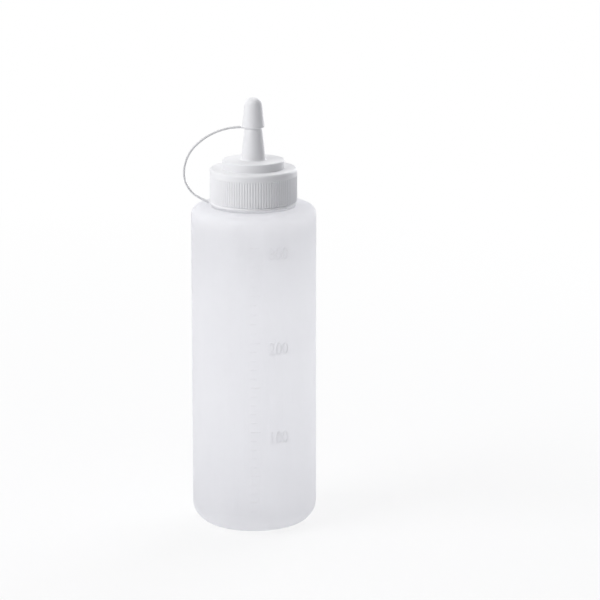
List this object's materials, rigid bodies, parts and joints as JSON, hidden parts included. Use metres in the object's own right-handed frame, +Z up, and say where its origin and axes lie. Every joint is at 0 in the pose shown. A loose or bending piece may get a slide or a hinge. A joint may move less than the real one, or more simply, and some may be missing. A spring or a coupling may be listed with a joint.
{
  "type": "squeeze sauce bottle",
  "caption": "Round squeeze bottle for sauce with a ribbed screw cap, a tapered nozzle and a small pull-off tip cap held on by a looped strap.",
  "frame": {"origin": "on the bottle's axis, in the plane of the ring that it stands on", "axes": "+Z up along the bottle's axis; the tether loops out towards -X; -Y is the side with the scale"},
  "size_m": [0.0594, 0.056, 0.1947],
  "materials": {
    "natural_polyethylene": "soft frosted natural polyethylene, slightly translucent, with a faint mould scale",
    "white_polyethylene": "opaque white injection moulding, fine satin",
    "white_soft_polyethylene": "opaque white soft moulding, satin"
  },
  "bodies": {
    "bottle": {"bottle": "natural_polyethylene"},
    "tether": {"tether_ring": "white_soft_polyethylene", "tether_strap": "white_soft_polyethylene"},
    "closure": {"screw_cap": "white_polyethylene"},
    "tip": {"tip_cap": "white_soft_polyethylene"}
  },
  "joints": [
    {"name": "cap_lift", "type": "slide", "parent": "bottle", "child": "tether", "axis": [0, 0, 1], "range_m": [0, 0.0168]},
    {"name": "cap_turn", "type": "hinge", "parent": "tether", "child": "closure", "pos_m": [0, 0, 0.155], "axis": [0, 0, 1], "range_deg": [0, 1440]},
    {"name": "tip_pull", "type": "slide", "parent": "tether", "child": "tip", "axis": [0, 0, 1], "range_m": [0, 0.016], "deforming": ["tether_strap"]}
  ],
  "couplings": [
    {"joint": "cap_lift", "follows": "cap_turn", "m_per_rad": 0.00066845}
  ]
}
